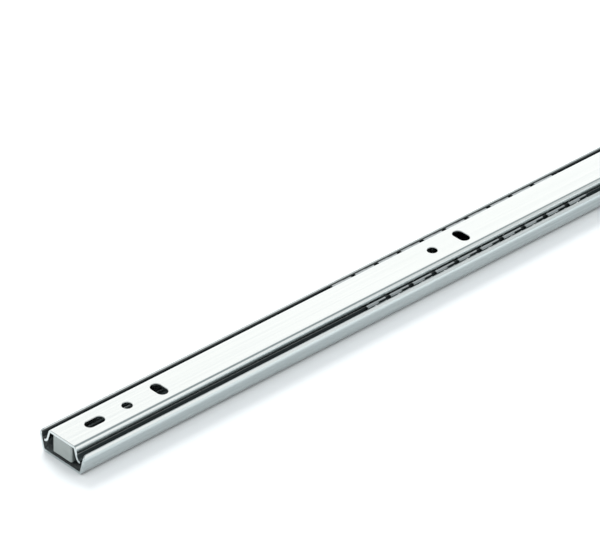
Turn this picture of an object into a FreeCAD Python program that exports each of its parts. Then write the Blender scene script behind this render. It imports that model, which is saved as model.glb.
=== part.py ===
"""Two-member ball-bearing drawer slide, 400 mm long, closed.

The cabinet member lies at the bottom and the drawer member runs inside it on two rows of balls.
X runs from the front end to the back end, Y across the slide and Z up, in millimetres. The origin
is at the middle of the cabinet member's underside, and the drawer is pulled out along -X.
"""
import FreeCAD, Part
import Sketcher
import math
import os

doc = FreeCAD.newDocument("drawer_slide")

# ---------------------------------------------------------------- driving dimensions
DIMENSIONS = [
    ("slide_length", 400),       # both members, end to end
    ("slide_width", 25),         # over the cabinet member's races
    ("slide_height", 11),        # cabinet underside to drawer face
    ("cabinet_steel", 1.1),      # sheet thickness of the cabinet member
    ("drawer_steel", 1),         # sheet thickness of the drawer member
    ("retainer_steel", 0.4),     # strip thickness of the ball retainer
    ("ball_diameter", 2.5),
    ("race_radius", 1.4),        # radius of both members' races
    ("ball_height", 7.2),        # ball centres above the cabinet underside
    ("cabinet_corner", 10.3),    # half width between the middle lines of the cabinet walls, at the floor
    ("cabinet_bend", 1.2),       # bend radius at the middle of the sheet
    ("cabinet_curl", 52),        # direction from the ball centre to the cabinet member's lip
    ("lip_rounding", 1.5),       # at both ends of each lip, seen from the side
    ("drawer_corner", 7),        # the same half width on the drawer member, at its web
    ("drawer_bend", 0.8),
    ("drawer_curl", 265),        # direction from the ball centre to the drawer member's lip
    ("retainer_leg", 10.25),     # half width between the middles of the retainer's legs
    ("retainer_bend", 0.5),
    ("retainer_level", 4.3),     # middle of the retainer's cross strip
    ("tab_level", 8.8),          # middle of the tabs over the balls
    ("tab_edge", 8.95),          # half width between the tabs' inner edges
    ("hole_diameter", 4.2),      # fixing holes of both members
    ("hole_pitch", 160),         # from group to group
    ("first_hole", 32),          # from the front end to the first round hole
    ("slot_step", 16),           # from a round hole to the slot beside it
    ("long_slot", 8.8),          # length over the ends of a slot along the slide
    ("cross_slot", 8),           # length over the ends of a slot across the slide
    ("cross_slot_width", 4.6),
    ("punch_rounding", 0.25),    # rolled-over edge where a punch or shear entered
    ("notch_diameter", 10.4),    # half-round notch in the back end of the drawer member's web
    ("dimple_place", 300),       # from the front end to the pressed dimple
    ("dimple_diameter", 1.8),
    ("dimple_depth", 0.5),
    ("dimple_boss", 2.6),        # diameter of the dimple's underside
    ("retainer_front", 147),     # from the front end to the retainer, closed
    ("ball_pitch", 12.5),
    ("first_ball", 4),           # from the retainer's front edge to its first balls
    ("slit_width", 2.4),         # gap between two retainer tabs
    ("slit_depth", 2),
    ("relief_start", 5.8),       # slot that frees the rear of each tab from its leg
    ("relief_inner", 9.85),      # half widths over the slots
    ("relief_outer", 10.6),
    ("relief_depth", 0.9),
    ("pocket_diameter", 2.9),    # ball pocket in the retainer
    ("window_length", 9),        # opening in the retainer's cross strip
    ("window_width", 13),
    ("stop_gap", 0.3),           # between the retainer and a stop at full extension
    ("retainer_travel", 120),    # half of the drawer member's travel
    ("cabinet_stop_inner", 5.6),  # half widths over the two tongues lanced from the floor
    ("cabinet_stop_outer", 8),
    ("cabinet_stop_height", 3.8),  # above the floor, and the length of the window it leaves
    ("drawer_stop_inner", 8.5),  # half widths over the two stops under the drawer member's lips
    ("drawer_stop_outer", 9.4),
    ("drawer_stop_height", 1.6),
    ("bumper_length", 10),
    ("bumper_width", 10.4),
    ("bumper_bottom", 2.3),
    ("bumper_edge", 0.5),        # chamfer round the bumper's front face
    ("rib_front", 6),            # from the front end to the rib
    ("rib_length", 3.5),
    ("rib_height", 1.8),
    ("rib_gap", 0.05),           # between the bumper's rib and the walls that grip it
    ("catch_front", 370),        # from the front end to the catch's foot
    ("catch_back", 399),
    ("catch_width", 10.4),
    ("catch_foot", 2),           # thickness of the foot
    ("riser_front", 384),
    ("riser_back", 394),
    ("tongue_front", 363.5),
    ("tongue_width", 7),
    ("tongue_thickness", 1.4),
    ("tongue_gap", 0.3),         # between the tongue and the drawer member's web
    ("buffer_radius", 4.8),      # round end of the catch in the web's notch
    ("buffer_chord", 95),        # direction from its centre to the end of its flat back
    ("buffer_drop", 0.4),        # its top below the drawer face
    ("stud_diameter", 2.8),
    ("stud_hole", 2.9),
    ("first_stud", 376),
    ("stud_pitch", 14),
    ("stud_inset", 0.05),        # from the cabinet underside to the studs' ends
]
RETAINER_MODULES = 10
TOLERANCE = 0.01                 # for finding edges by their place

sheet = doc.addObject("Spreadsheet::Sheet", "sheet")
for row, (alias, value) in enumerate(DIMENSIONS, start=1):
    sheet.set("A%d" % row, alias)
    sheet.set("B%d" % row, str(value))
    sheet.setAlias("B%d" % row, alias)
doc.recompute()


def size(alias):
    """The value of one cell of the sheet."""
    return float(sheet.get(alias))


# ---------------------------------------------------------------- outlines
def polar(centre, radius, degrees):
    """The point at a distance and direction from a centre."""
    turn = math.radians(degrees)
    return (centre[0] + radius * math.cos(turn), centre[1] + radius * math.sin(turn))


def mirrored(arc):
    """The same arc on the other side of the slide."""
    centre, radius, start, end = arc
    return ((-centre[0], centre[1]), radius, 180 - start, 180 - end)


def reversed_arc(arc):
    """The same arc, run the other way."""
    centre, radius, start, end = arc
    return (centre, radius, end, start)


def ball_centre():
    """Where a ball sits across the slide and above its underside."""
    across = size("slide_width") / 2 - size("cabinet_steel") - size("race_radius")
    return (across, size("ball_height"))


def wall_heading(corner, radius):
    """Direction of the straight wall that leaves a corner and meets the curl round the ball."""
    centre = ball_centre()
    reach_across = centre[0] - corner[0]
    reach_up = centre[1] - corner[1]
    turn_in = math.asin(radius / math.hypot(reach_across, reach_up))
    return math.degrees(math.atan2(reach_up, reach_across) - turn_in)


def channel_side(corner, bend, radius, curl_end, offset):
    """Bend and curl of one half of a channel, offset to the left of its middle line."""
    heading = wall_heading(corner, radius)
    side = math.copysign(1, heading)
    setback = bend * math.tan(math.radians(abs(heading)) / 2)
    bend_centre = (corner[0] - setback, corner[1] + side * bend)
    bend_arc = (bend_centre, bend - side * offset, -90 * side, -90 * side + heading)
    curl_arc = (ball_centre(), radius - offset, heading - 90, curl_end)
    return [bend_arc, curl_arc]


def channel_outline(corner, bend, radius, curl_end, thickness):
    """Closed outline of a bent-sheet channel, as arcs that straight lines join."""
    left = channel_side(corner, bend, radius, curl_end, thickness / 2)
    right = channel_side(corner, bend, radius, curl_end, -thickness / 2)
    half = left + [reversed_arc(arc) for arc in reversed(right)]
    other_half = [mirrored(reversed_arc(arc)) for arc in reversed(half)]
    return half + other_half


def strip_outline(leg, bend, low, high, edge, thickness):
    """Closed outline of the retainer: cross strip, two upright legs and two tabs bent inwards."""
    half = thickness / 2
    low_centre = (leg - bend, low + bend)
    high_centre = (leg - bend, high - bend)
    inside = [(low_centre, bend - half, -90, 0), (high_centre, bend - half, 0, 90)]
    tab_end = ((edge + half, high), half, 270, 90)
    outside = [(high_centre, bend + half, 90, 0), (low_centre, bend + half, 0, -90)]
    one_half = inside + [tab_end] + outside
    other_half = [mirrored(reversed_arc(arc)) for arc in reversed(one_half)]
    return one_half + other_half


def slot_outline(centre, length, width, along_x):
    """A slot with round ends, length over its ends."""
    reach = (length - width) / 2
    if along_x:
        first, second, start = (centre[0] + reach, centre[1]), (centre[0] - reach, centre[1]), -90
    else:
        first, second, start = (centre[0], centre[1] + reach), (centre[0], centre[1] - reach), 0
    return [(first, width / 2, start, start + 180), (second, width / 2, start + 180, start + 360)]


def rectangle(x_low, x_high, y_low, y_high):
    """The corners of a rectangle."""
    return [(x_low, y_low), (x_high, y_low), (x_high, y_high), (x_low, y_high)]


def both_sides(x_low, x_high, y_low, y_high):
    """The same rectangle on either side of the slide."""
    return [rectangle(x_low, x_high, y_low, y_high), rectangle(x_low, x_high, -y_high, -y_low)]


# ---------------------------------------------------------------- sketches and features
def vector(point):
    return FreeCAD.Vector(point[0], point[1], 0)


def make_body(name):
    body = doc.addObject("PartDesign::Body", name)
    body.Label = name
    return body


def make_sketch(body, name, plane, level="0"):
    """A sketch on one of the body's own origin planes, moved along its normal by an expression."""
    sketch = body.newObject("Sketcher::SketchObject", name)
    for feature in body.Origin.OriginFeatures:
        if feature.Role == plane:
            sketch.AttachmentSupport = [(feature, "")]
    sketch.MapMode = "FlatFace"
    sketch.setExpression("AttachmentOffset.Base.z", level)
    return sketch


def add_circle(sketch, centre, alias):
    """A circle whose diameter is a cell of the sheet."""
    circle = Part.Circle(vector(centre), FreeCAD.Vector(0, 0, 1), size(alias) / 2)
    index = sketch.addGeometry(circle)
    number = sketch.addConstraint(Sketcher.Constraint("Diameter", index, size(alias)))
    sketch.setExpression("Constraints[%d]" % number, "sheet." + alias)


def join_ends(sketch, first, second, point):
    """Make the ends of two edges that meet at a point coincide."""
    ends = []
    for index in (first, second):
        gaps = [(sketch.getPoint(index, end) - vector(point)).Length for end in (1, 2)]
        ends.append(1 if gaps[0] < gaps[1] else 2)
    sketch.addConstraint(Sketcher.Constraint("Coincident", first, ends[0], second, ends[1]))


def add_arcs(sketch, arcs, radii=()):
    """Arcs joined by straight lines into a closed loop, with radius expressions for some of them."""
    normal = FreeCAD.Vector(0, 0, 1)
    first_index = sketch.GeometryCount
    for number, (centre, radius, start, end) in enumerate(arcs):
        low, high = sorted((math.radians(start), math.radians(end)))
        sketch.addGeometry(Part.ArcOfCircle(Part.Circle(vector(centre), normal, radius), low, high))
        following = arcs[(number + 1) % len(arcs)]
        leave = polar(centre, radius, end)
        arrive = polar(following[0], following[1], following[2])
        sketch.addGeometry(Part.LineSegment(vector(leave), vector(arrive)))
    for number, (centre, radius, start, end) in enumerate(arcs):
        arc_index = first_index + 2 * number
        line_before = first_index + (2 * number - 1) % (2 * len(arcs))
        join_ends(sketch, line_before, arc_index, polar(centre, radius, start))
        join_ends(sketch, arc_index, arc_index + 1, polar(centre, radius, end))
    for number, expression in radii:
        index = first_index + 2 * number
        constraint = Sketcher.Constraint("Radius", index, arcs[number][1])
        sketch.setExpression("Constraints[%d]" % sketch.addConstraint(constraint), expression)


def add_polygon(sketch, points):
    """Straight lines round a closed loop of points."""
    first_index = sketch.GeometryCount
    count = len(points)
    for number, point in enumerate(points):
        following = points[(number + 1) % count]
        sketch.addGeometry(Part.LineSegment(vector(point), vector(following)))
    for number in range(count):
        index = first_index + number
        following = first_index + (number + 1) % count
        sketch.addConstraint(Sketcher.Constraint("Coincident", index, 2, following, 1))


def make_pad(body, sketch, name, length):
    pad = body.newObject("PartDesign::Pad", name)
    pad.Profile = sketch
    pad.setExpression("Length", length)
    doc.recompute()
    return pad


def make_pocket(body, sketch, name, length):
    """A pocket against the sketch's normal, which must take something away."""
    before = body.Shape.Volume
    pocket = body.newObject("PartDesign::Pocket", name)
    pocket.Profile = sketch
    pocket.setExpression("Length", length)
    doc.recompute()
    if body.Shape.Volume > before - 0.01:
        raise RuntimeError(name + " cuts nothing")
    return pocket


def make_channel(body, prefix, corner_level):
    """The bent-sheet channel of one member, padded along the slide."""
    thickness = size(prefix + "_steel")
    radius = size("race_radius") + thickness / 2
    inner = "sheet.race_radius"
    outer = "sheet.race_radius + sheet.%s_steel" % prefix
    corner = (size(prefix + "_corner"), corner_level)
    arcs = channel_outline(corner, size(prefix + "_bend"), radius, size(prefix + "_curl"), thickness)
    section = make_sketch(body, prefix + "_section", "YZ_Plane", FRONT_CELL)
    add_arcs(section, arcs, [(1, inner), (2, outer), (5, outer), (6, inner)])
    return make_pad(body, section, prefix + "_pad", "sheet.slide_length")


def round_edges(body, name, level):
    """Small rounding, as press tools leave it, on the hole and end edges of one flat face."""
    cut_feature = body.Tip
    edges = []
    for number, edge in enumerate(cut_feature.Shape.Edges, start=1):
        box = edge.BoundBox
        at_level = max(abs(box.ZMin - level), abs(box.ZMax - level)) < TOLERANCE
        is_bend_line = box.XLength > size("slide_length") / 2
        if at_level and not is_bend_line:
            edges.append("Edge%d" % number)
    fillet = body.newObject("PartDesign::Fillet", name)
    fillet.Base = (cut_feature, edges)
    fillet.setExpression("Radius", "sheet.punch_rounding")
    doc.recompute()


def round_lip_ends(body):
    """Round off the corners that the cabinet member's lips have at both ends."""
    cut_feature = body.Tip
    middle_of_lip = size("race_radius") + size("cabinet_steel") / 2
    across, up = polar(ball_centre(), middle_of_lip, size("cabinet_curl"))
    edges = []
    for number, edge in enumerate(cut_feature.Shape.Edges, start=1):
        middle = edge.CenterOfMass
        at_lip = math.hypot(abs(middle.y) - across, middle.z - up) < TOLERANCE
        if at_lip and edge.BoundBox.XLength < TOLERANCE:
            edges.append("Edge%d" % number)
    fillet = body.newObject("PartDesign::Fillet", "lip_ends")
    fillet.Base = (cut_feature, edges)
    fillet.setExpression("Radius", "sheet.lip_rounding")
    doc.recompute()


FRONT = -size("slide_length") / 2
FRONT_CELL = "-sheet.slide_length / 2"
BALL_ACROSS_CELL = "sheet.slide_width / 2 - sheet.cabinet_steel - sheet.race_radius"
GROUP_HOLES = [FRONT + size("first_hole") + group * size("hole_pitch") for group in range(3)]


# ---------------------------------------------------------------- cabinet member
def make_cabinet_member():
    """Outer member: floor with fixing holes, two leaning walls with races, two lanced stops."""
    body = make_body("cabinet_member")
    make_channel(body, "cabinet", size("cabinet_steel") / 2)
    round_lip_ends(body)

    stop_face = FRONT + size("retainer_front") - size("retainer_travel") - size("stop_gap")
    stop_inner, stop_outer = size("cabinet_stop_inner"), size("cabinet_stop_outer")
    stops = make_sketch(body, "cabinet_stop_section", "XY_Plane", "sheet.cabinet_steel / 2")
    for outline in both_sides(stop_face - size("cabinet_steel"), stop_face, stop_inner, stop_outer):
        add_polygon(stops, outline)
    make_pad(body, stops, "cabinet_stops", "sheet.cabinet_stop_height + sheet.cabinet_steel / 2")

    window_end = stop_face - size("cabinet_steel")
    windows = make_sketch(body, "stop_window_section", "XY_Plane", "sheet.cabinet_steel")
    window_start = window_end - size("cabinet_stop_height")
    for outline in both_sides(window_start, window_end, stop_inner, stop_outer):
        add_polygon(windows, outline)
    make_pocket(body, windows, "stop_windows", "sheet.cabinet_steel")

    holes = make_sketch(body, "cabinet_hole_section", "XY_Plane", "sheet.cabinet_steel")
    for place in GROUP_HOLES:
        add_circle(holes, (place, 0), "hole_diameter")
    for place in (GROUP_HOLES[0] + 2 * size("slot_step"), GROUP_HOLES[2] - 2 * size("slot_step")):
        add_arcs(holes, slot_outline((place, 0), size("long_slot"), size("hole_diameter"), True))
    for stud in range(2):
        place = FRONT + size("first_stud") + stud * size("stud_pitch")
        add_circle(holes, (place, 0), "stud_hole")
    make_pocket(body, holes, "cabinet_holes", "sheet.cabinet_steel")
    round_edges(body, "cabinet_edges", 0)
    return body


# ---------------------------------------------------------------- drawer member
def make_drawer_member():
    """Inner member: web with the fixing holes and slots, two walls with races, two small stops."""
    body = make_body("drawer_member")
    web_middle = size("slide_height") - size("drawer_steel") / 2
    make_channel(body, "drawer", web_middle)

    stop_face = FRONT + size("retainer_front") + RETAINER_MODULES * size("ball_pitch")
    stop_face += size("retainer_travel") + size("stop_gap")
    stop_inner, stop_outer = size("drawer_stop_inner"), size("drawer_stop_outer")
    stops = make_sketch(body, "drawer_stop_section", "XY_Plane",
                        "sheet.retainer_level - sheet.retainer_steel")
    for outline in both_sides(stop_face, stop_face + size("drawer_steel"), stop_inner, stop_outer):
        add_polygon(stops, outline)
    make_pad(body, stops, "drawer_stops", "sheet.drawer_stop_height")

    holes = make_sketch(body, "drawer_hole_section", "XY_Plane", "sheet.slide_height")
    for place in GROUP_HOLES:
        add_circle(holes, (place, 0), "hole_diameter")
        beside = (place + size("slot_step"), 0)
        add_arcs(holes, slot_outline(beside, size("cross_slot"), size("cross_slot_width"), False))
    front_slot = (GROUP_HOLES[0] - size("slot_step"), 0)
    add_arcs(holes, slot_outline(front_slot, size("long_slot"), size("hole_diameter"), True))
    make_pocket(body, holes, "drawer_holes", "2 * sheet.drawer_steel")

    notch = make_sketch(body, "notch_section", "XY_Plane", "sheet.slide_height")
    add_circle(notch, (-FRONT, 0), "notch_diameter")
    make_pocket(body, notch, "web_notch", "2 * sheet.drawer_steel")
    round_edges(body, "drawer_edges", size("slide_height"))

    place = (FRONT + size("dimple_place"), 0)
    boss = make_sketch(body, "dimple_boss_section", "XY_Plane",
                       "sheet.slide_height - sheet.drawer_steel - sheet.dimple_depth")
    add_circle(boss, place, "dimple_boss")
    make_pad(body, boss, "dimple_boss", "sheet.dimple_depth + sheet.drawer_steel / 2")
    dimple = make_sketch(body, "dimple_section", "XY_Plane", "sheet.slide_height")
    add_circle(dimple, place, "dimple_diameter")
    make_pocket(body, dimple, "dimple", "sheet.dimple_depth")
    return body


# ---------------------------------------------------------------- ball retainer
def make_ball_retainer():
    """Bent strip that spaces the balls: a cross strip with windows, and a pocket at every ball."""
    body = make_body("ball_retainer")
    section = make_sketch(body, "retainer_section", "YZ_Plane", FRONT_CELL + " + sheet.retainer_front")
    arcs = strip_outline(size("retainer_leg"), size("retainer_bend"), size("retainer_level"),
                         size("tab_level"), size("tab_edge"), size("retainer_steel"))
    inner = "sheet.retainer_bend - sheet.retainer_steel / 2"
    outer = "sheet.retainer_bend + sheet.retainer_steel / 2"
    add_arcs(section, arcs, [(0, inner), (1, inner), (3, outer), (4, outer)])
    make_pad(body, section, "retainer_pad", "%d * sheet.ball_pitch" % RETAINER_MODULES)

    module_starts = [FRONT + size("retainer_front") + number * size("ball_pitch")
                     for number in range(RETAINER_MODULES)]
    slits = make_sketch(body, "slit_section", "XY_Plane", "sheet.tab_level + sheet.retainer_steel")
    slit_inner = size("tab_edge") - size("retainer_steel")
    slit_outer = size("retainer_leg") + size("retainer_steel")
    for module in module_starts:
        slit_end = module + size("ball_pitch")
        for outline in both_sides(slit_end - size("slit_width"), slit_end, slit_inner, slit_outer):
            add_polygon(slits, outline)
    make_pocket(body, slits, "slits", "sheet.slit_depth")

    reliefs = make_sketch(body, "relief_section", "XY_Plane", "sheet.tab_level + sheet.retainer_steel")
    for module in module_starts:
        relief_end = module + size("ball_pitch") - size("slit_width") / 2
        for outline in both_sides(module + size("relief_start"), relief_end,
                                  size("relief_inner"), size("relief_outer")):
            add_polygon(reliefs, outline)
    make_pocket(body, reliefs, "reliefs", "sheet.relief_depth + sheet.retainer_steel / 2")

    pockets = make_sketch(body, "pocket_section", "XZ_Plane", "sheet.slide_width / 2")
    for module in module_starts:
        add_circle(pockets, (module + size("first_ball"), size("ball_height")), "pocket_diameter")
    make_pocket(body, pockets, "ball_pockets", "sheet.slide_width")

    windows = make_sketch(body, "window_section", "XY_Plane", "sheet.retainer_level + sheet.retainer_steel")
    margin = (size("ball_pitch") - size("window_length")) / 2
    half_width = size("window_width") / 2
    for module in module_starts:
        x_low = module + margin
        add_polygon(windows, rectangle(x_low, x_low + size("window_length"), -half_width, half_width))
    make_pocket(body, windows, "windows", "2 * sheet.retainer_steel")
    return body


# ---------------------------------------------------------------- balls
def make_balls():
    """One ball in every pocket, ten on either side."""
    balls = []
    for side_name, side in (("near", -1), ("far", 1)):
        for number in range(RETAINER_MODULES):
            name = "ball_%s_%02d" % (side_name, number + 1)
            ball = doc.addObject("Part::Sphere", name)
            ball.Label = name
            ball.setExpression("Radius", "sheet.ball_diameter / 2")
            place = "sheet.retainer_front + sheet.first_ball + %d * sheet.ball_pitch" % number
            ball.setExpression("Placement.Base.x", FRONT_CELL + " + " + place)
            ball.setExpression("Placement.Base.y", "%d * (%s)" % (side, BALL_ACROSS_CELL))
            ball.setExpression("Placement.Base.z", "sheet.ball_height")
            balls.append(ball)
    return balls


# ---------------------------------------------------------------- front bumper
def wall_inside(height, gap):
    """Half width between the drawer member's walls at a height, less a gap on each side."""
    corner = (size("drawer_corner"), size("slide_height") - size("drawer_steel") / 2)
    heading = math.radians(wall_heading(corner, size("race_radius") + size("drawer_steel") / 2))
    slope = math.cos(heading) / math.sin(heading)
    sheet_shift = (size("drawer_steel") / 2 + gap) / abs(math.sin(heading))
    return corner[0] + (height - corner[1]) * slope - sheet_shift


def make_front_bumper():
    """Plastic block under the front end of the drawer member's web, gripped by a rib."""
    body = make_body("front_bumper")
    top = size("slide_height") - size("drawer_steel")
    half_width = size("bumper_width") / 2
    block = make_sketch(body, "bumper_section", "YZ_Plane", FRONT_CELL)
    add_polygon(block, rectangle(-half_width, half_width, size("bumper_bottom"), top))
    pad = make_pad(body, block, "bumper_block", "sheet.bumper_length")
    edges = []
    for number, edge in enumerate(pad.Shape.Edges, start=1):
        middle = edge.CenterOfMass
        at_front = middle.x < FRONT + TOLERANCE and middle.z < top - TOLERANCE
        at_bottom = middle.z < size("bumper_bottom") + TOLERANCE
        if at_front or at_bottom:
            edges.append("Edge%d" % number)
    chamfer = body.newObject("PartDesign::Chamfer", "bumper_edges")
    chamfer.Base = (pad, edges)
    chamfer.setExpression("Size", "sheet.bumper_edge")
    doc.recompute()

    rib = make_sketch(body, "rib_section", "YZ_Plane", FRONT_CELL + " + sheet.rib_front")
    rib_top = top - size("drawer_bend") / 2
    rib_bottom = rib_top - size("rib_height")
    lower = wall_inside(rib_bottom, size("rib_gap"))
    upper = wall_inside(rib_top, size("rib_gap"))
    add_polygon(rib, [(-lower, rib_bottom), (lower, rib_bottom), (upper, rib_top), (-upper, rib_top)])
    make_pad(body, rib, "bumper_rib", "sheet.rib_length")
    return body


# ---------------------------------------------------------------- rear catch
def make_rear_catch():
    """Plastic catch on the cabinet member: foot, riser, sprung tongue, buffer and two studs."""
    body = make_body("rear_catch")
    half_width = size("catch_width") / 2
    tongue_top = size("slide_height") - size("drawer_steel") - size("tongue_gap")

    foot = make_sketch(body, "foot_section", "XY_Plane", "sheet.cabinet_steel")
    add_polygon(foot, rectangle(FRONT + size("catch_front"), FRONT + size("catch_back"),
                                -half_width, half_width))
    make_pad(body, foot, "catch_foot_pad", "sheet.catch_foot")

    riser = make_sketch(body, "riser_section", "XY_Plane", "sheet.cabinet_steel")
    add_polygon(riser, rectangle(FRONT + size("riser_front"), FRONT + size("riser_back"),
                                 -half_width, half_width))
    make_pad(body, riser, "catch_riser", "%g - sheet.cabinet_steel" % tongue_top)

    tongue = make_sketch(body, "tongue_section", "XY_Plane", "%g - sheet.tongue_thickness" % tongue_top)
    half_tongue = size("tongue_width") / 2
    add_polygon(tongue, rectangle(FRONT + size("tongue_front"), FRONT + size("riser_back"),
                                  -half_tongue, half_tongue))
    make_pad(body, tongue, "catch_tongue", "sheet.tongue_thickness")

    buffer_sketch = make_sketch(body, "buffer_section", "XY_Plane", "sheet.cabinet_steel")
    chord = size("buffer_chord")
    add_arcs(buffer_sketch, [((-FRONT, 0), size("buffer_radius"), chord, 360 - chord)],
             [(0, "sheet.buffer_radius")])
    make_pad(body, buffer_sketch, "catch_buffer",
             "sheet.slide_height - sheet.buffer_drop - sheet.cabinet_steel")

    studs = make_sketch(body, "stud_section", "XY_Plane", "sheet.stud_inset")
    for stud in range(2):
        place = FRONT + size("first_stud") + stud * size("stud_pitch")
        add_circle(studs, (place, 0), "stud_diameter")
    make_pad(body, studs, "catch_studs", "sheet.cabinet_steel")
    return body


# ---------------------------------------------------------------- build, test and write
sub_parts = [
    make_cabinet_member(),
    make_drawer_member(),
    make_ball_retainer(),
    make_front_bumper(),
    make_rear_catch(),
]
sub_parts += make_balls()
doc.recompute()

for item in doc.Objects:
    if "Invalid" in item.State or "Error" in item.State:
        raise RuntimeError("%s did not build: %s" % (item.Name, item.State))
for sub_part in sub_parts:
    shape = sub_part.Shape
    if shape.isNull() or not shape.isValid() or len(shape.Solids) != 1:
        raise RuntimeError("%s is not one valid solid" % sub_part.Label)

os.makedirs("parts", exist_ok=True)
for sub_part in sub_parts:
    sub_part.Shape.exportStep("parts/%s.step" % sub_part.Label)
    box = sub_part.Shape.BoundBox
    print("%-16s %9.2f mm3  x %7.2f %7.2f  y %6.2f %6.2f  z %5.2f %5.2f" % (
        sub_part.Label, sub_part.Shape.Volume, box.XMin, box.XMax, box.YMin, box.YMax,
        box.ZMin, box.ZMax))
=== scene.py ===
"""Looks of the drawer slide: materials, floor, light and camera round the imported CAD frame."""
import bpy
import math
from mathutils import Matrix, Vector

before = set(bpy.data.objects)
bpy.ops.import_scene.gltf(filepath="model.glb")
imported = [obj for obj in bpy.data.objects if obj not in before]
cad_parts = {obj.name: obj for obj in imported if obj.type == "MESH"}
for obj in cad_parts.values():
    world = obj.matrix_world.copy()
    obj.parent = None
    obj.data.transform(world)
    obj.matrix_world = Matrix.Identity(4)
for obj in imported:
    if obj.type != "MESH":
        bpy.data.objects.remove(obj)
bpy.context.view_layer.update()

# ---------------------------------------------------------------- camera
TARGET = Vector((-0.0546, 0.0259, 0.0057))   # what the middle of the picture looks at
AZIMUTH = math.radians(-44.513)
ELEVATION = math.radians(33.229)
ROLL = math.radians(1.696)
DISTANCE = 1.7853
LENS = 275.15                                # millimetres, as is the sensor
SENSOR = 36
CLIP_START, CLIP_END = 0.05, 20


def make_camera():
    data = bpy.data.cameras.new("camera")
    camera = bpy.data.objects.new("camera", data)
    bpy.context.scene.collection.objects.link(camera)
    back = Vector((math.sin(AZIMUTH) * math.cos(ELEVATION),
                   -math.cos(AZIMUTH) * math.cos(ELEVATION),
                   math.sin(ELEVATION)))
    level_right = Vector((math.cos(AZIMUTH), math.sin(AZIMUTH), 0))
    level_up = back.cross(level_right)
    right = math.cos(ROLL) * level_right + math.sin(ROLL) * level_up
    up = math.cos(ROLL) * level_up - math.sin(ROLL) * level_right
    turn = Matrix((right, up, back)).transposed().to_4x4()
    camera.matrix_world = Matrix.Translation(TARGET + back * DISTANCE) @ turn
    data.sensor_width = SENSOR
    data.lens = LENS
    data.clip_start = CLIP_START
    data.clip_end = CLIP_END
    bpy.context.scene.camera = camera


# ---------------------------------------------------------------- material nodes
# Noises, in cells per metre along and across the slide.
DRAWING_LINES = (25, 4000)
STREAKS = (6, 900)
BALL_MARKS = (900, 900)
PLASTIC_GRAIN = (5000, 5000)
PLASTIC_CLOUDS = (300, 300)
NOISE_DETAIL = 3
NOISE_RANGE = (0.3, 0.7)     # where most of a noise lies
STREAK_RANGE = (0.35, 0.65)
BUMP_DISTANCE = 0.00002

# Old oil in the races, dark enough to be painted shade there too, and painted shade in sheltered
# corners, with lengths in metres.
OIL_AND_PAINTED_SHADE = (0.040, 0.052, 0.054)
BALL_ACROSS = 0.010          # from the middle of the slide to the ball centres
BALL_HEIGHT = 0.0072
RACE_RANGE = (0.0018, 0.0021)    # thick this near the ball centres, gone beyond
SHELTER_REACH = 0.012
SHELTER_SAMPLES = 12
WIPED_SLOPE = 0.9            # normals this close to an axis belong to a wiped face


def new_material(name):
    material = bpy.data.materials.new(name)
    material.use_nodes = True
    tree = material.node_tree
    shader = tree.nodes["Principled BSDF"]
    return material, tree, shader


def stretched_noise(tree, cells):
    """Noise with its own cell size along the slide and across it."""
    along, across = cells
    coordinates = tree.nodes.new("ShaderNodeTexCoord")
    mapping = tree.nodes.new("ShaderNodeMapping")
    mapping.inputs["Scale"].default_value = (along, across, across)
    noise = tree.nodes.new("ShaderNodeTexNoise")
    noise.inputs["Scale"].default_value = 1
    noise.inputs["Detail"].default_value = NOISE_DETAIL
    tree.links.new(coordinates.outputs["Object"], mapping.inputs["Vector"])
    tree.links.new(mapping.outputs["Vector"], noise.inputs["Vector"])
    return noise.outputs["Fac"]


def spread(tree, source, wanted=(0, 1), source_range=NOISE_RANGE):
    """Map a range of one value onto the wanted range, and hold it at both ends."""
    node = tree.nodes.new("ShaderNodeMapRange")
    node.inputs["From Min"].default_value, node.inputs["From Max"].default_value = source_range
    node.inputs["To Min"].default_value, node.inputs["To Max"].default_value = wanted
    tree.links.new(source, node.inputs["Value"])
    return node.outputs["Result"]


def colour_mix(tree, factor, first, second):
    """Mix two colours, each a plain colour or another node's output."""
    node = tree.nodes.new("ShaderNodeMix")
    node.data_type = "RGBA"
    for socket, colour in ((node.inputs["A"], first), (node.inputs["B"], second)):
        if isinstance(colour, tuple):
            socket.default_value = (*colour, 1)
        else:
            tree.links.new(colour, socket)
    tree.links.new(factor, node.inputs["Factor"])
    return node.outputs["Result"]


def add_bump(tree, shader, height, strength):
    bump = tree.nodes.new("ShaderNodeBump")
    bump.inputs["Strength"].default_value = strength
    bump.inputs["Distance"].default_value = BUMP_DISTANCE
    tree.links.new(height, bump.inputs["Height"])
    tree.links.new(bump.outputs["Normal"], shader.inputs["Normal"])


def math_node(tree, operation, first, second=None):
    node = tree.nodes.new("ShaderNodeMath")
    node.operation = operation
    for socket, value in zip(node.inputs, (first, second)):
        if isinstance(value, (int, float)):
            socket.default_value = value
        elif value is not None:
            tree.links.new(value, socket)
    return node.outputs["Value"]


def axis_parts(tree, output):
    """X, Y and Z of one of the coordinates that a shader can ask for."""
    coordinates = tree.nodes.new("ShaderNodeTexCoord")
    parts = tree.nodes.new("ShaderNodeSeparateXYZ")
    tree.links.new(coordinates.outputs[output], parts.inputs["Vector"])
    return [parts.outputs[axis] for axis in "XYZ"]


def race_distance(tree):
    """How far a point is from the line of ball centres on its own side of the slide."""
    _, y, z = axis_parts(tree, "Object")
    across = math_node(tree, "SUBTRACT", math_node(tree, "ABSOLUTE", y), BALL_ACROSS)
    above = math_node(tree, "SUBTRACT", z, BALL_HEIGHT)
    squares = math_node(tree, "ADD", math_node(tree, "MULTIPLY", across, across),
                        math_node(tree, "MULTIPLY", above, above))
    return math_node(tree, "SQRT", squares)


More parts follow.
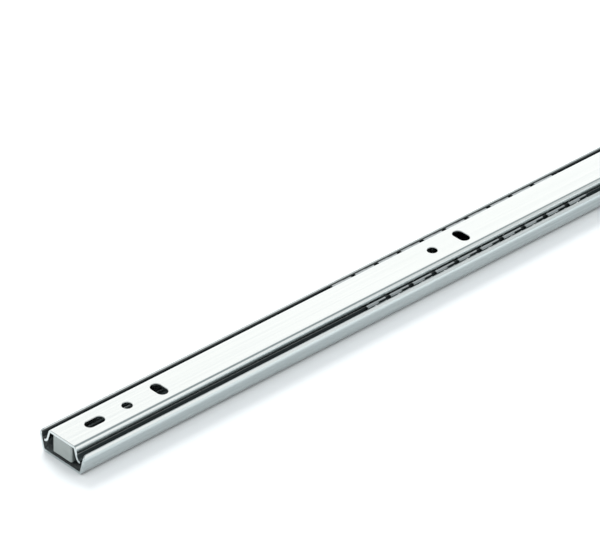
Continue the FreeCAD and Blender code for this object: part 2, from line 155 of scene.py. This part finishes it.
def wiped_face(tree):
    """One on the members' cut ends and undersides, which are clean of oil and get no painted
    shade, and zero elsewhere.
    """
    x, _, z = axis_parts(tree, "Normal")
    end = math_node(tree, "GREATER_THAN", math_node(tree, "ABSOLUTE", x), WIPED_SLOPE)
    underside = math_node(tree, "LESS_THAN", z, -WIPED_SLOPE)
    return math_node(tree, "MAXIMUM", end, underside)


def oil_and_painted_shade(tree, shader, clean, openness, in_race):
    """Lay painted shade and old oil over a clean colour, and give how free of both the surface is.

    The painted shade is thick in sheltered corners below one openness and gone above the other. In
    a race the oil, dark enough to stand in for the race's deep shade too, is also thick near the
    balls; both are gone from wiped faces.
    """
    # Painted shade: ambient occlusion darkens sheltered corners and recesses towards the dark oil
    # colour.
    shelter = tree.nodes.new("ShaderNodeAmbientOcclusion")
    shelter.samples = SHELTER_SAMPLES
    shelter.inputs["Distance"].default_value = SHELTER_REACH
    clear = spread(tree, shelter.outputs["AO"], source_range=openness)
    if in_race:
        # The race band is old oil, made dark enough to be painted shade for the deep race as well.
        off_race = spread(tree, race_distance(tree), source_range=RACE_RANGE)
        clear = math_node(tree, "MINIMUM", clear, off_race)
        clear = math_node(tree, "MAXIMUM", clear, wiped_face(tree))
    tree.links.new(colour_mix(tree, clear, OIL_AND_PAINTED_SHADE, clean), shader.inputs["Base Color"])
    return clear


# ---------------------------------------------------------------- materials
ZINC_BUMP = 0.15
PLASTIC_BUMP = 0.12
# Openness range over which the painted shade in the plastic's sheltered corners fades out.
PLASTIC_OPENNESS = (0.15, 0.4)
PLASTIC_ROUGHNESS_STEP = 0.06

# Name, light and dark colour, roughness, openness where the painted shade in corners starts to
# fade, oil (also painted shade) in the race.
OUTER_ZINC = ("outer_zinc_plate", (0.62, 0.67, 0.67), (0.52, 0.575, 0.58),
              (0.12, 0.24), (0.20, 0.46), True)
INNER_ZINC = ("inner_zinc_plate", (0.635, 0.68, 0.675), (0.60, 0.65, 0.65),
              (0.12, 0.20), (0.02, 0.10), True)
STRIP_ZINC = ("retainer_strip", (0.36, 0.40, 0.41), (0.29, 0.33, 0.34),
              (0.24, 0.36), (0.02, 0.12), False)

# Name, light and dark colour, middle roughness.
GREY_PLASTIC = ("grey_moulding", (0.33, 0.37, 0.36), (0.27, 0.31, 0.30), 0.42)
WHITE_PLASTIC = ("white_moulding", (0.70, 0.71, 0.70), (0.65, 0.66, 0.65), 0.45)

BALL_LIGHT, BALL_DARK = (0.84, 0.85, 0.86), (0.76, 0.77, 0.78)
BALL_ROUGHNESS = (0.06, 0.14)


def zinc_material(name, light, dark, roughness, openness, in_race):
    """Bright zinc plate on rolled strip, with faint drawing lines along the slide."""
    material, tree, shader = new_material(name)
    lines = stretched_noise(tree, DRAWING_LINES)
    streaks = stretched_noise(tree, STREAKS)
    shade = spread(tree, streaks, source_range=STREAK_RANGE)
    # Painted shade in sheltered corners and the shade-dark race oil darken the zinc and take away
    # its metal shine there.
    clear = oil_and_painted_shade(tree, shader, colour_mix(tree, shade, light, dark), openness, in_race)
    tree.links.new(clear, shader.inputs["Metallic"])
    tree.links.new(spread(tree, lines, roughness), shader.inputs["Roughness"])
    add_bump(tree, shader, lines, ZINC_BUMP)
    return material


def ball_material():
    """Polished steel with faint marks."""
    material, tree, shader = new_material("ball_steel")
    shader.inputs["Metallic"].default_value = 1
    marks = stretched_noise(tree, BALL_MARKS)
    tree.links.new(colour_mix(tree, marks, BALL_LIGHT, BALL_DARK), shader.inputs["Base Color"])
    tree.links.new(spread(tree, marks, BALL_ROUGHNESS), shader.inputs["Roughness"])
    return material


def plastic_material(name, light, dark, roughness):
    """Satin moulded plastic with a fine eroded grain."""
    material, tree, shader = new_material(name)
    grain = stretched_noise(tree, PLASTIC_GRAIN)
    clouds = stretched_noise(tree, PLASTIC_CLOUDS)
    # On plastic this paints only shade into sheltered corners, with no oil.
    oil_and_painted_shade(tree, shader, colour_mix(tree, clouds, light, dark), PLASTIC_OPENNESS, False)
    wanted = (roughness - PLASTIC_ROUGHNESS_STEP, roughness + PLASTIC_ROUGHNESS_STEP)
    tree.links.new(spread(tree, grain, wanted), shader.inputs["Roughness"])
    add_bump(tree, shader, grain, PLASTIC_BUMP)
    return material


def dress_slide():
    """Give every CAD node its material; the nodes not named here are balls."""
    choice = {"cabinet_member": zinc_material(*OUTER_ZINC),
              "drawer_member": zinc_material(*INNER_ZINC),
              "ball_retainer": zinc_material(*STRIP_ZINC),
              "front_bumper": plastic_material(*GREY_PLASTIC),
              "rear_catch": plastic_material(*WHITE_PLASTIC)}
    ball = ball_material()
    for node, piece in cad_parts.items():
        piece.data.materials.clear()
        piece.data.materials.append(choice.get(node, ball))


# ---------------------------------------------------------------- floor and light
FLOOR_SIZE = 12
FLOOR_WHITE = (0.86, 0.885, 0.90)
FLOOR_ROUGHNESS = 0.9
FLOOR_SHINE = 0.1

# Name, place, side in metres and watts of each square light, all aimed at the origin.
LIGHTS = [("key", (0.35, 1.0, 0.95), 0.7, 15),
          ("overhead", (-0.3, -0.3, 2.2), 2.5, 16)]

ROOM_BRIGHT = (1.04, 1, 0.985)
ROOM_DARK = (0.27, 0.30, 0.31)
ROOM_STRENGTH = 1.5

# How dark the room gets, and over which part of a direction's X, Y or Z.
OVERHEAD = ((0, 1), (0.60, 0.74))        # Z
SIDEWAYS = ((0, 0.675), (0.56, 0.63))    # X, only as far as NEAR_SIDE allows
NEAR_SIDE = ((1, 0), (-0.45, -0.10))     # Y
FRONT_HALF = ((0.477, 0), (0.05, 0.45))  # X


def make_floor():
    bpy.ops.mesh.primitive_plane_add(size=FLOOR_SIZE, location=(0, 0, 0))
    floor = bpy.context.active_object
    floor.name = "floor"
    material, tree, shader = new_material("floor_white")
    shader.inputs["Base Color"].default_value = (*FLOOR_WHITE, 1)
    shader.inputs["Roughness"].default_value = FLOOR_ROUGHNESS
    shader.inputs["Specular IOR Level"].default_value = FLOOR_SHINE
    floor.data.materials.append(material)


def make_area_light(name, place, side, power):
    data = bpy.data.lights.new(name, "AREA")
    data.shape = "RECTANGLE"
    data.size = side
    data.size_y = side
    data.energy = power
    light = bpy.data.objects.new(name, data)
    light.location = place
    light.rotation_mode = "QUATERNION"
    light.rotation_quaternion = Vector(place).to_track_quat("Z", "Y")
    light.visible_glossy = False
    bpy.context.scene.collection.objects.link(light)


def make_room():
    """A bright room whose darker parts show as grey lines in the bends of the steel."""
    world = bpy.data.worlds.new("studio")
    bpy.context.scene.world = world
    world.use_nodes = True
    tree = world.node_tree
    background = tree.nodes["Background"]
    x, y, z = axis_parts(tree, "Generated")
    sideways = math_node(tree, "MULTIPLY", spread(tree, x, *SIDEWAYS), spread(tree, y, *NEAR_SIDE))
    dark = math_node(tree, "MAXIMUM", spread(tree, z, *OVERHEAD), sideways)
    dark = math_node(tree, "MAXIMUM", dark, spread(tree, x, *FRONT_HALF))
    tree.links.new(colour_mix(tree, dark, ROOM_BRIGHT, ROOM_DARK), background.inputs["Color"])
    background.inputs["Strength"].default_value = ROOM_STRENGTH


make_camera()
dress_slide()
make_floor()
make_room()
for light in LIGHTS:
    make_area_light(*light)
bpy.context.scene.view_settings.view_transform = "Standard"
